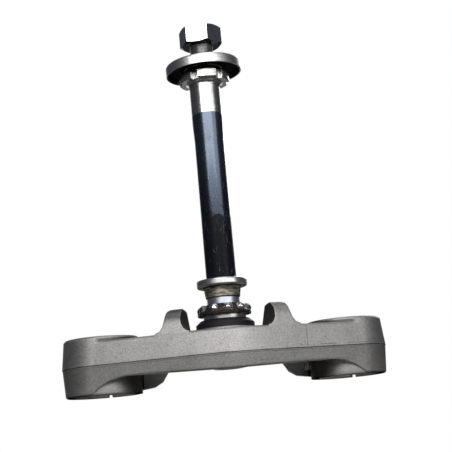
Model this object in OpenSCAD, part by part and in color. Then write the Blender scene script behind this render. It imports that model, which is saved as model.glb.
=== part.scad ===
// Lower yoke of a motorcycle fork with its steering stem, bearing parts and nuts.
// Lengths are in mm. The stem stands upright on Z, the two fork legs pass at +X and -X,
// and +Y is the front of the motorcycle. Heights are named from the feet of the fork
// clamps, and the finished part is lowered so that the mouth of the stem is at the origin.

/* [Yoke] */
// Distance between the centres of the two fork legs
fork_spacing = 204; // [190:0.5:220]
// Distance of the fork legs in front of the stem
fork_offset = 24; // [15:0.5:40]
// Diameter of the bore for the fork leg
fork_bore_d = 50; // [43:0.1:54]
// Outer radius of a fork clamp at the parting line
clamp_r = 33.5; // [31:0.1:36]
// Height of the parting line above the clamp feet
parting_z = 23; // [18:0.5:28]
// Height of the top face of the fork clamps
clamp_top_z = 47; // [42:0.5:54]
// Height of the top face of the arms
arm_top_z = 42.6; // [36:0.2:46]
// Taper of the outer walls above the parting line, in degrees
upper_draft = 6; // [2:0.5:8]
// Taper of the outer walls below the parting line, in degrees
lower_draft = 4; // [1:0.5:6]
// Step by which the upper half stands proud of the lower half
parting_step = 0.35; // [0.2:0.05:0.6]
// Bevel of the top edges of the casting
edge_bevel = 1.6; // [0.8:0.1:2.5]
// Rear wall, sweep of each half in degrees
wall_sweep = 17; // [10:0.5:20]
// Rear wall, radius of its rounded middle
wall_blend_r = 100; // [60:5:140]
// Wall thickness of the hollow arms
wall_t = 7.5; // [5:0.5:10]
// Thickness of the roof of the hollow arms
roof_t = 8; // [6:0.5:12]
// Height of the lower edge of the arms in the middle
arm_low_z = 11; // [8:0.5:14]
// Rise of the lower edge of the arms towards the clamps
arm_low_rise = 2; // [0.5:0.25:4]
// Distance from the stem to the point where the lower edge starts to bend down
arch_x = 82; // [76:1:88]
// Radius of the bend of the lower edge
arch_r = 42; // [36:1:48]
// Depth of the step that the bend leaves around a clamp
arch_step = 2.2; // [1:0.1:3]
// Diameter of the pad under the lower bearing
pad_d = 51; // [49:0.5:56]
// Height of that pad
pad_z = 44.9; // [43.5:0.1:46]
// Diameter of the hub around the stem
hub_d = 50; // [46:0.5:54]
// Height of the lower face of the hub
hub_low_z = 17.5; // [15:0.5:20]
// Front edge of the arms beside the hub
front_y = 27; // [26:0.5:32]
// Height of the lower edge of the front wall between the clamps
front_low_z = 18; // [15:0.5:22]
// Distance from the stem to the end of the low skirt of the front wall
skirt_x = 52; // [46:1:56]

/* [Steering stops] */
// Inner edge of a stop at its foot, along the rear wall
stop_in_x = 34; // [30:0.5:38]
// Outer edge of a stop at its foot, along the rear wall
stop_out_x = 62; // [56:0.5:66]
// Height of the top of the stops
stop_top_z = 61.8; // [56:0.2:66]
// Depth of a stop from the rear wall
stop_depth = 26; // [18:1:32]
// Radius of the rear top edge of a stop
stop_round_r = 6; // [3:0.5:8]

/* [Fork clamps] */
// Width of the slit
slit_w = 3.5; // [2:0.1:5]
// Mean turn of the two slits from the front, in degrees
slit_turn = 15; // [0:1:20]
// Angle by which the right slit is turned more, and the left one less
slit_spread = 6; // [0:0.5:8]
// Radius to which the clamp lugs reach
lug_reach = 47; // [44:0.5:52]
// Width of each lug
lug_w = 13; // [11:0.5:16]
// Height of the lower face of the lugs
lug_low_z = 3; // [1:0.5:6]
// Height of the upper face of the lugs
lug_top_z = 42; // [36:0.5:44]
// Radius at which the bolts pass
bolt_r = 38.5; // [36:0.5:42]
// Height of the lower bolt
bolt_low_z = 12.5; // [10:0.5:16]
// Height of the upper bolt
bolt_high_z = 33; // [28:0.5:36]
// Thread diameter of the bolts
bolt_d = 8; // [6:1:10]
// Length of the bolt shank
bolt_len = 25; // [20:0.5:26]
// Diameter of the flange under the bolt head
bolt_flange_d = 15.4; // [14:0.2:17]
// Hexagon of the bolt head across the flats
bolt_af = 10; // [10:0.5:13]
// Height of the bolt head above its flange
bolt_head_h = 6; // [5:0.5:9]

/* [Stem] */
// Height of the lower end of the stem
stem_low_z = 12.6; // [8:0.1:14]
// Diameter of the thick root of the stem
root_d = 27; // [26.6:0.1:28]
// Height of the shoulder at the top of the root
root_z = 70.4; // [68:0.2:74]
// Diameter of the painted tube
tube_d = 24.9; // [24:0.1:26]
// Length over which the tube widens to the upper journal
widen_len = 15; // [8:1:24]
// Length of the upper journal under the neck of the ring nut
journal_len = 30.5; // [24:0.5:38]
// Diameter of the upper journal
journal_d = 26; // [25.5:0.1:26.4]
// Diameter of the top thread
spigot_d = 19.7; // [18:0.1:22]
// Height of the upper end of the stem
stem_top_z = 301; // [296:0.5:302]
// Bore of the stem at its lower end
stem_bore_d = 17; // [14:0.2:19]
// Narrow bore through the top of the stem
stem_hole_d = 12.5; // [8:0.5:13]
// Length of that narrow bore
stem_hole_len = 68.4; // [50:0.2:90]

/* [Bearing] */
// Outer diameter of the lower dust seal
seal_d = 48.2; // [46:0.1:50]
// Height of the straight rim of the dust seal
seal_rim_h = 4.1; // [3:0.1:5]
// Full height of the dust seal
seal_h = 7.4; // [6:0.1:8]
// Outer diameter of the lower inner race
race_d = 35.4; // [34:0.1:36]
// Diameter of the circle through the ball centres
ball_circle_d = 37; // [36:0.1:38]
// Diameter of a ball
ball_d = 7.94; // [7.5:0.01:8.2]
// Number of balls
ball_count = 10; // [9:1:11]
// Turn of the first ball from the rear, in degrees
ball_turn = 5; // [0:1:35]
// Height of the ball centres
ball_z = 60.8; // [60:0.1:61.5]
// Thickness of the ball cage
cage_t = 1.6; // [1.2:0.1:2]
// Reach of the cage inwards from the ball centres
cage_in = 3.6; // [3.4:0.1:4.2]
// Reach of the cage outwards from the ball centres
cage_out = 3.6; // [2.8:0.1:3.8]
// Height of the cage's lip above the ball centres
cage_up = 2.4; // [2.2:0.1:3]
// Reach of the cage below the ball centres
cage_down = 4.4; // [4:0.1:5]
// Height of the inner race above the ball centres
race_lip = 1.4; // [1:0.1:1.8]
// Diameter of the collar of the upper inner race
flange_d = 41.8; // [39:0.1:44]
// Height of the lower face of that collar
flange_low_z = 79.4; // [77:0.1:81]
// Thickness of the collar
flange_t = 6.2; // [5:0.1:8]
// Rounding of its rim
flange_round = 1.4; // [0.8:0.1:2.4]
// Diameter of the ball track where it meets the collar
track_high_d = 31; // [30:0.1:33]
// Diameter of the lower end of the ball track
track_low_d = 28.6; // [28.2:0.1:30]

/* [Nuts and cap] */
// Distance from the upper end of the stem down to the lower ring nut
ring_nut_drop = 45.5; // [44:0.1:47]
// Height of the lower ring nut
ring_nut_h = 7.8; // [7:0.1:9]
// Diameter of the lower ring nut
ring_nut_d = 43; // [41:0.1:45]
// Width of the wrench slots
ring_slot_w = 5.9; // [4:0.1:7]
// Depth of the wrench slots
ring_slot_deep = 3; // [2:0.1:4]
// Number of wrench slots of the lower ring nut
ring_slots = 6; // [4:1:8]
// Turn of the lower ring nut
ring_turn = 3.5; // [0:0.5:60]
// Length of the tapered neck under the lower ring nut
neck_len = 6; // [4:0.5:8]
// Widening of that neck up to the nut
neck_flare = 2.8; // [1.5:0.1:4]
// Diameter of the rubber washer
washer_d = 32; // [30:0.5:38]
// Thickness of the rubber washer
washer_t = 3.9; // [3:0.1:4.5]
// Diameter of the upper ring nut
lock_nut_d = 33.2; // [32:0.1:35]
// Height of the upper ring nut
lock_nut_h = 3.9; // [3.4:0.1:4.6]
// Width of its wrench slots
lock_slot_w = 7.2; // [5:0.1:8]
// Number of its wrench slots
lock_slots = 4; // [4:1:6]
// Turn of the upper ring nut
lock_turn = -5; // [-45:0.5:45]
// Outer diameter of the dust cap
cap_d = 64.2; // [62:0.1:66]
// Height of the dust cap
cap_h = 8.6; // [7.5:0.1:9.5]
// Sheet thickness of the dust cap
cap_t = 1.4; // [1:0.1:1.8]
// Bore of the dust cap
cap_bore_d = 20.6; // [20.2:0.1:21.4]
// Outer radius of the bend of the dust cap
cap_bend_r = 2.2; // [1.6:0.1:2.8]
// Angle by which the loose cap lies crooked on the upper ring nut
cap_tilt = 2.2; // [0:0.1:3]
// Hexagon of the stem nut across the flats
nut_af = 32.4; // [30:0.2:34]
// Diameter to which the corners of the stem nut are turned
nut_corner_d = 37; // [35.5:0.1:37.4]
// Height of the stem nut
nut_h = 15.8; // [13:0.2:17]
// Distance from the upper end of the stem down to the lower face of the stem nut
nut_drop = 12.1; // [10:0.1:14]
// Turn of the stem nut
nut_turn = -76.7; // [-90:0.1:-30]

/* [Hidden] */
$fn = 96;
// Radial gap between parts pressed or screwed together
press_gap = 0.03;
// Depth of a threaded hole beyond the end of its bolt
thread_spare = 1;
// Height by which the shoulder of the stem stays under the cap
shoulder_gap = 0.3;
// Radial gap of the parts that slide over the stem
slide_gap = 0.08;
// Radial gap between a ball and its track or pocket
ball_gap = 0.06;
over = 1;
far = 200;
fork_x = fork_spacing / 2;
root_r = root_d / 2;
journal_r = journal_d / 2;
spigot_r = spigot_d / 2;
// the flat rear wall lies this much inside the cones that it runs into
wall_inset = 0.15;
// both halves of the rear wall would meet this far behind the stem without their rounding
wall_peak_y = clamp_r / cos(wall_sweep) + fork_x * tan(wall_sweep) - fork_offset;
touch_x = fork_x + clamp_r * sin(wall_sweep);
// angle beside a touching line at which a flat wall enters a round one
blend_turn = acos(1 - wall_inset / wall_blend_r);
arm_start_x = wall_blend_r * sin(wall_sweep - blend_turn) + 1;
blend_end_x = wall_blend_r * sin(wall_sweep + blend_turn) + 1;
wall_blend_y = -wall_peak_y + wall_blend_r / cos(wall_sweep);
ring_nut_z = stem_top_z - ring_nut_drop;
washer_z = ring_nut_z + ring_nut_h;
lock_nut_z = washer_z + washer_t;
cap_z = lock_nut_z + lock_nut_h;
shoulder_z = cap_z - shoulder_gap;
nut_z = stem_top_z - nut_drop;
journal_z = ring_nut_z - neck_len - journal_len;

// Everything is drawn from the clamp feet and lowered to the mouth of the stem.
module placed() {
  translate([0, 0, -stem_low_z])
    children();
}

// A turned body from its outline in radius and height.
module turned(outline) {
  rotate_extrude($fn = 144)
    polygon(outline);
}

// Left and right copies of a thing drawn on the +X side.
module both_sides() {
  for (side = [0, 1])
    mirror([side, 0, 0])
      children();
}

// Outline of the tapered upper half of a round wall with bevelled top edge.
function upper_wall(r, top) = [
  [0, parting_z],
  [r + parting_step, parting_z],
  [r + parting_step - (top - edge_bevel - parting_z) * tan(upper_draft), top - edge_bevel],
  [r + parting_step - (top - edge_bevel - parting_z) * tan(upper_draft) - edge_bevel, top],
  [0, top]
];

// Outline of the tapered lower half of a round wall.
function lower_wall(r, low, bevel) = [
  [0, low],
  [r - (parting_z - low - bevel) * tan(lower_draft) - bevel, low],
  [r - (parting_z - low - bevel) * tan(lower_draft), low + bevel],
  [r, parting_z],
  [0, parting_z]
];

// Arm in plan without its rear wall, from near the middle to inside the clamp.
module arm_plan() {
  polygon([
    [arm_start_x, -far],
    [touch_x, -far],
    [touch_x, fork_offset],
    [fork_x - clamp_r * 0.65, fork_offset + clamp_r * 0.69],
    [hub_d * 0.96, front_y + 4],
    [arm_start_x, front_y]
  ]);
}

// Space behind the rear wall, leaning inwards by the draft from the given height.
module behind_wall(proud, lean, shift = 0) {
  translate([0, -wall_peak_y + wall_inset / cos(wall_sweep), parting_z])
    rotate([0, 0, wall_sweep])
      translate([0, -proud + shift, 0])
        rotate([lean, 0, 0])
          translate([-far, -far, -far])
            cube([2 * far, far, 2 * far]);
}

// Upper half of the casting, without bores.
module upper_half() {
  draft_in = (arm_top_z - edge_bevel - parting_z) * tan(upper_draft);
  both_sides() {
    translate([fork_x, fork_offset, 0])
      turned(upper_wall(clamp_r, clamp_top_z));
    difference() {
      translate([0, 0, parting_z])
        linear_extrude(arm_top_z - parting_z)
          arm_plan();
      behind_wall(parting_step, -upper_draft);
      translate([0, 0, arm_top_z - edge_bevel - parting_z])
        behind_wall(parting_step - draft_in, -45);
    }
  }
  intersection() {
    translate([0, wall_blend_y, 0])
      turned(upper_wall(wall_blend_r, arm_top_z));
    translate([-blend_end_x, -far, 0])
      cube([2 * blend_end_x, far + front_y, clamp_top_z]);
  }
}

// Lower half of the casting down to the clamp feet, before the arms are cut free.
module lower_half() {
  both_sides() {
    translate([fork_x, fork_offset, 0])
      turned(lower_wall(clamp_r, 0, 1.2));
    difference() {
      linear_extrude(parting_z)
        arm_plan();
      behind_wall(0, lower_draft);
    }
  }
  intersection() {
    translate([0, wall_blend_y, 0])
      turned(lower_wall(wall_blend_r, 0, 0.01));
    translate([-blend_end_x, -far, 0])
      cube([2 * blend_end_x, far + front_y, clamp_top_z]);
  }
}

// Space under the arms: the rear wall bends down to the feet at both clamps, and the
// front wall reaches further down beside them.
module under_arms() {
  steps = 14;
  reach = acos((arch_r - arm_low_z - arm_low_rise - over) / arch_r);
  bend = [for (k = [0 : steps]) [
    arch_x + arch_r * sin(reach * k / steps),
    arm_low_z + arm_low_rise - arch_r + arch_r * cos(reach * k / steps)
  ]];
  difference() {
    both_sides() {
      translate([0, hub_d / 2 - 8, 0])
        rotate([90, 0, 0])
          linear_extrude(far)
            polygon(concat([[-over, -over], [-over, arm_low_z], [0, arm_low_z]], bend));
      translate([0, far, 0])
        rotate([90, 0, 0])
          linear_extrude(far - hub_d / 2 + 8)
            polygon([
              [-over, -over],
              [-over, front_low_z],
              [skirt_x - 4, front_low_z],
              [skirt_x + 1, 10.5],
              [skirt_x + 8, 6.6],
              [skirt_x + 20, 3],
              [skirt_x + 32, 0.4],
              [skirt_x + 34, -over]
            ]);
    }
    both_sides()
      translate([fork_x, fork_offset, -2 * over])
        cylinder(r = clamp_r - arch_step, h = clamp_top_z, $fn = 144);
  }
}

// Hollow of one arm, open downwards.
module arm_hollow() {
  difference() {
    translate([0, 0, -over])
      linear_extrude(arm_top_z - roof_t + over)
        polygon([
          [hub_d * 0.24, -wall_peak_y + hub_d * 0.24 * tan(wall_sweep) + wall_t + 6],
          [fork_x, -wall_peak_y + fork_x * tan(wall_sweep) + wall_t + 1],
          [fork_x, fork_offset + 10],
          [fork_x - clamp_r * 0.65, fork_offset + clamp_r * 0.69 - wall_t - 2],
          [hub_d * 0.96, front_y + 4 - wall_t],
          [hub_d * 0.24, front_y - wall_t]
        ]);
    translate([fork_x, fork_offset, -2 * over])
      cylinder(r = clamp_r - arch_step, h = clamp_top_z, $fn = 144);
    translate([0, 0, -2 * over])
      cylinder(d = hub_d, h = clamp_top_z, $fn = 144);
  }
}

// One steering stop as a lug square to the swept rear wall.
module steering_stop() {
  h = stop_top_z - arm_top_z;
  profile = [
    [stop_out_x, -3],
    [stop_out_x, 0.6],
    [stop_out_x - 3.8, 2.2],
    [stop_out_x - 6, 5.2],
    [stop_out_x - 7.4, 9.4],
    [stop_out_x - 9, h - 4.6],
    [stop_out_x - 10.4, h - 1.8],
    [stop_out_x - 13.2, h],
    [stop_in_x + 4.4, h],
    [stop_in_x + 3.2, h - 0.8],
    [stop_in_x + 3.4, h - 2.2],
    [stop_in_x + 6, h - 5],
    [stop_in_x + 7, h - 8.6],
    [stop_in_x + 6.8, h - 12],
    [stop_in_x + 5, 3.4],
    [stop_in_x + 2.6, 1.2],
    [stop_in_x, 0.4],
    [stop_in_x, -3]
  ];
  lean_in = (arm_top_z - parting_z) * tan(upper_draft) - parting_step;
  translate([0, -wall_peak_y, arm_top_z])
    rotate([0, 0, wall_sweep])
      translate([0, lean_in, 0])
        intersection() {
          translate([0, stop_depth, 0])
            rotate([90, 0, 0])
              linear_extrude(stop_depth)
                polygon(profile);
          stop_side(h);
        }
}

// Side view of a stop, leaning with the wall and rounded at its rear top edge.
module stop_side(h) {
  lean = h * tan(upper_draft);
  translate([far / 2, 0, 0])
    rotate([90, 0, -90])
      linear_extrude(far) {
        polygon([
          [-stop_depth + 2, -3],
          [-stop_depth + 4, h],
          [-lean - stop_round_r, h],
          [-lean - stop_round_r, h - stop_round_r],
          [-lean, h - stop_round_r],
          [0.3, -3]
        ]);
        translate([-lean - stop_round_r, h - stop_round_r])
          circle(r = stop_round_r, $fn = 48);
      }
}

// Clamp lugs with their slit, as seen with the slit pointing along +Y.
module clamp_lugs() {
  translate([-lug_w - slit_w / 2, fork_bore_d / 2 + 3, lug_low_z])
    cube([2 * lug_w + slit_w, lug_reach - 5 - fork_bore_d / 2 - 3, lug_top_z - lug_low_z]);
  for (x = [-lug_w - slit_w / 2 + 5, lug_w + slit_w / 2 - 5])
    translate([x, lug_reach - 5, lug_low_z])
      cylinder(r = 5, h = lug_top_z - lug_low_z, $fn = 48);
  translate([-lug_w - slit_w / 2 + 5, lug_reach - 6, lug_low_z])
    cube([2 * lug_w + slit_w - 10, 6, lug_top_z - lug_low_z]);
}

// Bolt holes and slit taken out of a clamp, with the slit pointing along +Y.
module clamp_cuts() {
  translate([-slit_w / 2, 0, -over])
    cube([slit_w, lug_reach + over, clamp_top_z + 2 * over]);
  for (z = [bolt_low_z, bolt_high_z])
    translate([0, bolt_r, z])
      rotate([0, 90, 0]) {
        cylinder(d = bolt_d + 0.8, h = far, $fn = 48);
        translate([0, 0, lug_w + slit_w / 2 - 1 - bolt_len - thread_spare])
          cylinder(d = bolt_d + 2 * press_gap, h = bolt_len, $fn = 48);
        translate([0, 0, lug_w + slit_w / 2 - 1])
          cylinder(d = bolt_flange_d + 2, h = 12, $fn = 48);
      }
}

// Both slits turn the same way, so the clamps are placed without mirroring.
module at_clamps() {
  for (side = [-1, 1])
    translate([side * fork_x, fork_offset, 0])
      rotate([0, 0, -slit_turn - side * slit_spread])
        children();
}

module yoke() {
  color("#a8a6a0")
    placed()
      difference() {
        union() {
          difference() {
            union() {
              upper_half();
              lower_half();
            }
            both_sides()
              arm_hollow();
            under_arms();
            translate([0, 0, -over])
              cylinder(d = hub_d, h = hub_low_z + over, $fn = 144);
          }
          translate([0, 0, arm_top_z - 2])
            cylinder(d = pad_d, h = pad_z - arm_top_z + 2, $fn = 144);
          both_sides()
            steering_stop();
          at_clamps()
            clamp_lugs();
        }
        both_sides()
          translate([fork_x, fork_offset, -over])
            cylinder(d = fork_bore_d, h = clamp_top_z + 2 * over, $fn = 144);
        at_clamps()
          clamp_cuts();
        translate([0, 0, -over])
          cylinder(r = root_r + press_gap, h = clamp_top_z + 2 * over, $fn = 144);
      }
}

// Four flanged bolts that close the slits.
module pinch_bolts() {
  color("#70726f")
    placed()
      at_clamps()
        for (z = [bolt_low_z, bolt_high_z])
          translate([lug_w + slit_w / 2 - 1, bolt_r, z])
            rotate([0, 90, 0]) {
              translate([0, 0, -bolt_len])
                cylinder(d = bolt_d, h = bolt_len + 0.5, $fn = 48);
              cylinder(d = bolt_flange_d, h = 1.6, $fn = 48);
              translate([0, 0, 1])
                cylinder(d = bolt_af / cos(30), h = bolt_head_h, $fn = 6);
            }
}

module stem() {
  color("#1d1f22")
    placed()
      difference() {
        turned([
          [0, stem_low_z],
          [root_r - 1.2, stem_low_z],
          [root_r, stem_low_z + 2],
          [root_r, root_z],
          [tube_d / 2, root_z],
          [tube_d / 2, journal_z - widen_len],
          [journal_r, journal_z],
          [journal_r, shoulder_z - 0.8],
          [journal_r - 0.8, shoulder_z],
          [spigot_r, shoulder_z],
          [spigot_r, stem_top_z - 1],
          [spigot_r - 1, stem_top_z],
          [0, stem_top_z]
        ]);
        translate([0, 0, stem_low_z - over])
          cylinder(d = stem_bore_d, h = stem_top_z - stem_hole_len - stem_low_z + over, $fn = 96);
        translate([0, 0, stem_low_z])
          cylinder(d = stem_hole_d, h = stem_top_z, $fn = 96);
      }
}

// Rubber ring that lies on the pad around the lower race.
module lower_dust_seal() {
  color("#17171a")
    placed()
      turned([
        [race_d / 2 + slide_gap, pad_z],
        [seal_d / 2, pad_z],
        [seal_d / 2, pad_z + seal_rim_h],
        [seal_d / 2 - 3.7, pad_z + seal_h],
        [race_d / 2 + slide_gap, pad_z + seal_h]
      ]);
}

// Race pressed on the root of the stem, with the groove for the balls.
module lower_inner_race() {
  ball_r = ball_d / 2 + ball_gap;
  c = ball_circle_d / 2;
  low_r = race_d / 2;
  low_a = acos((low_r - c) / ball_r);
  lip_a = 180 + asin(race_lip / ball_r);
  steps = 10;
  groove = [for (k = [0 : steps])
    let (a = 360 - low_a + (low_a - lip_a) * k / steps)
      [c + ball_r * cos(a), ball_z + ball_r * sin(a)]];
  color("#b9bcc0")
    placed()
      turned(concat(
        [[root_r + press_gap, pad_z], [low_r, pad_z]],
        groove,
        [[root_r + press_gap, ball_z + race_lip]]
      ));
}

// Pressed cage, a sloping ring with a round window for each ball.
module lower_ball_cage() {
  c = ball_circle_d / 2;
  color("#4a3323")
    placed()
      difference() {
        turned([
          [c - cage_in, ball_z + cage_up],
          [c - cage_in, ball_z + cage_up + cage_t * 1.2],
          [c - cage_in * 0.6, ball_z + cage_up + cage_t],
          [c + cage_out, ball_z - cage_down + cage_t * 1.25],
          [c + cage_out, ball_z - cage_down],
          [c + cage_out - cage_t, ball_z - cage_down],
          [c + cage_out - cage_t, ball_z - cage_down + cage_t * 0.7],
          [c - cage_in * 0.75, ball_z + cage_up - 0.2]
        ]);
        for (k = [0 : ball_count - 1])
          rotate([0, 0, -90 + ball_turn + k * 360 / ball_count])
            translate([c, 0, ball_z])
              sphere(d = ball_d + 2 * ball_gap, $fn = 48);
      }
}

// Loose balls of the lower bearing.
module lower_balls() {
  color("#c8ccd0")
    placed()
      for (k = [0 : ball_count - 1])
        rotate([0, 0, -90 + ball_turn + k * 360 / ball_count])
          translate([ball_circle_d / 2, 0, ball_z])
            sphere(d = ball_d, $fn = 48);
}

// Collared race of the upper bearing, which has slid down to the root of the stem.
module upper_inner_race() {
  r = flange_d / 2;
  top = flange_low_z + flange_t;
  b = flange_round;
  bore_r = journal_r + slide_gap;
  color("#b9bcc0")
    placed()
      turned([
        [bore_r, root_z],
        [track_low_d / 2 - 0.6, root_z],
        [track_low_d / 2, root_z + 0.8],
        [track_high_d / 2 - 0.3, flange_low_z - 1.6],
        [track_high_d / 2 + 1, flange_low_z],
        [r - b, flange_low_z],
        [r - b * 0.3, flange_low_z + b * 0.3],
        [r, flange_low_z + b],
        [r, top - b],
        [r - b * 0.3, top - b * 0.3],
        [r - b, top],
        [bore_r, top]
      ]);
}

// Wrench slots of a ring nut.
module wrench_slots(r, low, high, width, count, turn) {
  for (k = [0 : count - 1])
    rotate([0, 0, turn + k * 360 / count])
      translate([r - ring_slot_deep, -width / 2, low - over])
        cube([ring_slot_deep + over, width, high - low + 2 * over]);
}

module lower_ring_nut() {
  r = ring_nut_d / 2;
  bore_r = journal_r + press_gap;
  color("#9ea1a4")
    placed()
      difference() {
        turned([
          [bore_r, ring_nut_z - neck_len],
          [bore_r + 0.4, ring_nut_z - neck_len],
          [bore_r + neck_flare * 0.42, ring_nut_z - neck_len / 2],
          [bore_r + neck_flare, ring_nut_z],
          [r - 0.8, ring_nut_z],
          [r, ring_nut_z + 0.8],
          [r, washer_z - 0.8],
          [r - 0.8, washer_z],
          [bore_r, washer_z]
        ]);
        wrench_slots(r, ring_nut_z, washer_z, ring_slot_w, ring_slots, ring_turn);
      }
}

// Rubber washer between the two ring nuts.
module ring_nut_washer() {
  color("#1b1b1d")
    placed()
      translate([0, 0, washer_z])
        difference() {
          cylinder(d = washer_d, h = washer_t, $fn = 96);
          translate([0, 0, -over])
            cylinder(r = journal_r + slide_gap, h = washer_t + 2 * over, $fn = 96);
        }
}

module upper_ring_nut() {
  r = lock_nut_d / 2;
  bore_r = journal_r + press_gap;
  color("#a4a7a9")
    placed()
      difference() {
        turned([
          [bore_r, lock_nut_z],
          [r - 0.5, lock_nut_z],
          [r, lock_nut_z + 0.5],
          [r, cap_z - 0.5],
          [r - 0.5, cap_z],
          [bore_r, cap_z]
        ]);
        wrench_slots(r, lock_nut_z, cap_z, lock_slot_w, lock_slots, lock_turn);
      }
}

// The loose cap rests on one side of the upper ring nut.
module crooked() {
  lift = (lock_nut_d / 2 - 0.5) * tan(cap_tilt) + slide_gap * sin(cap_tilt);
  placed()
    translate([0, 0, cap_z + lift])
      rotate([0, -cap_tilt, 0])
        translate([0, 0, -cap_z])
          children();
}

// Pressed sheet cap with its skirt pointing down.
module dust_cap() {
  r = cap_d / 2;
  top = cap_z + cap_t;
  low = top - cap_h;
  steps = 6;
  outer = [for (k = [0 : steps]) [
    r - cap_bend_r + cap_bend_r * cos(90 * k / steps),
    top - cap_bend_r + cap_bend_r * sin(90 * k / steps)
  ]];
  in_r = cap_bend_r - cap_t;
  inner = [for (k = [0 : steps]) [
    r - cap_bend_r + in_r * sin(90 * k / steps),
    top - cap_bend_r + in_r * cos(90 * k / steps)
  ]];
  color("#a9a9a6")
    crooked()
      turned(concat(
        [[r, low]],
        outer,
        [[cap_bore_d / 2, top], [cap_bore_d / 2, cap_z]],
        inner,
        [[r - cap_t, low]]
      ));
}

// Rubber ring bonded inside the cap.
module dust_cap_seal() {
  r = cap_d / 2 - cap_t;
  color("#161618")
    crooked()
      turned([
        [20, cap_z],
        [r - 1.2, cap_z],
        [r - 1.2, cap_z - 2.4],
        [r - 3.4, cap_z - 2.4],
        [r - 5, cap_z - 1.4],
        [20, cap_z - 1.4]
      ]);
}

// Bright hexagon nut at the top of the stem.
module stem_nut() {
  corner = nut_af / 2 / cos(30);
  color("#d7dade")
    placed()
      translate([0, 0, nut_z])
        difference() {
          intersection() {
            rotate([0, 0, nut_turn])
              cylinder(r = corner, h = nut_h, $fn = 6);
            turned([
              [0, 0],
              [nut_af / 2 - 0.6, 0],
              [nut_corner_d / 2, 1.4],
              [nut_corner_d / 2, nut_h - 1.1],
              [nut_af / 2 + 0.1, nut_h],
              [0, nut_h]
            ]);
          }
          translate([0, 0, -over])
            cylinder(r = spigot_r + press_gap, h = nut_h + 2 * over, $fn = 96);
        }
}

yoke();
pinch_bolts();
stem();
lower_dust_seal();
lower_inner_race();
lower_ball_cage();
lower_balls();
upper_inner_race();
lower_ring_nut();
ring_nut_washer();
upper_ring_nut();
dust_cap();
dust_cap_seal();
stem_nut();
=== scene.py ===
import math

import bmesh
import bpy
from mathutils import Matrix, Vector


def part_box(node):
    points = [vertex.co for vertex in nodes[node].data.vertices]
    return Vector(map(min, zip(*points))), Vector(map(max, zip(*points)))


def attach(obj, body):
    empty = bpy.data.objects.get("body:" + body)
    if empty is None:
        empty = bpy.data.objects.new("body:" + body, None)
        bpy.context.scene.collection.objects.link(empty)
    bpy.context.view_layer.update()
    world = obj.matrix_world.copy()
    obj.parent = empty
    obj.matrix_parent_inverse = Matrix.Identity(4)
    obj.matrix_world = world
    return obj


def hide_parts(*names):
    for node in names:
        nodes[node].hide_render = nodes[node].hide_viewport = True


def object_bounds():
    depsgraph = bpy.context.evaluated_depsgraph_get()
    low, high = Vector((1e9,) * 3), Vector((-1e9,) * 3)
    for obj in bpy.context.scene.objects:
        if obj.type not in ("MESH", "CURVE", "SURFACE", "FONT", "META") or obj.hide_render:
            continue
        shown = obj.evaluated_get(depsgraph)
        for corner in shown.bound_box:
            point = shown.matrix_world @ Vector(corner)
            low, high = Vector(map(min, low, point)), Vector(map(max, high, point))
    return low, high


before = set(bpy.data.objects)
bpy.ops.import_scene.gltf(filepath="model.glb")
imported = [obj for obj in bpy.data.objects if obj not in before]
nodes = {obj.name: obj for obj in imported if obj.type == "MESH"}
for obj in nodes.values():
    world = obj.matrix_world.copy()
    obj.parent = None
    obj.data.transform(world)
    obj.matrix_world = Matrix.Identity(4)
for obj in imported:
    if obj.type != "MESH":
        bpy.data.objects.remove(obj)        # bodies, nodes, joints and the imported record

# A lower fork yoke with its steering stem, bearings and nuts, in metres.
# X points at the right-hand clamp, +Y at the front of the machine, Z up the stem.
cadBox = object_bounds()
mm = 0.001
print("frame:", len(nodes), "CAD nodes, box", [[round(v, 4) for v in corner] for corner in cadBox])


def heights(name):
    low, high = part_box(name)
    return low[2], high[2]


def radiusOf(name):
    low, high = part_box(name)
    return (high[0] - low[0]) / 2


# shader helpers

class Channel:
    # one value in a node tree, with the usual arithmetic
    def __init__(self, work, socket):
        self.work, self.socket = work, socket

    def maths(self, operation, *others):
        sockets = {0: self}
        for index, other in enumerate(others):
            sockets[index + 1] = other
        made = self.work.node("ShaderNodeMath", {"operation": operation}, sockets)
        return Channel(self.work, made.outputs[0])

    def __add__(self, other):
        return self.maths("ADD", other)

    def __radd__(self, other):
        return self.maths("ADD", other)

    def __sub__(self, other):
        return self.maths("SUBTRACT", other)

    def __rsub__(self, other):
        made = self.work.node("ShaderNodeMath", {"operation": "SUBTRACT"}, {0: other, 1: self})
        return Channel(self.work, made.outputs[0])

    def __mul__(self, other):
        return self.maths("MULTIPLY", other)

    def __rmul__(self, other):
        return self.maths("MULTIPLY", other)

    def least(self, other):
        return self.maths("MINIMUM", other)

    def most(self, other):
        return self.maths("MAXIMUM", other)

    def absolute(self):
        return self.maths("ABSOLUTE")

    def step(self, low, high):
        # 0 under low, 1 over high, smooth between
        made = self.work.node(
            "ShaderNodeMapRange", {"interpolation_type": "SMOOTHSTEP"},
            {"Value": self, "From Min": low, "From Max": high})
        return Channel(self.work, made.outputs["Result"])

    def band(self, centre, half, soft):
        # 1 within half of centre, fading out over soft
        return 1 - (self - centre).absolute().step(half, half + soft)

    def wander(self, reach):
        # noise as a swing to both sides, reach from its lowest to its highest
        return (self - 0.5) * reach


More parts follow.
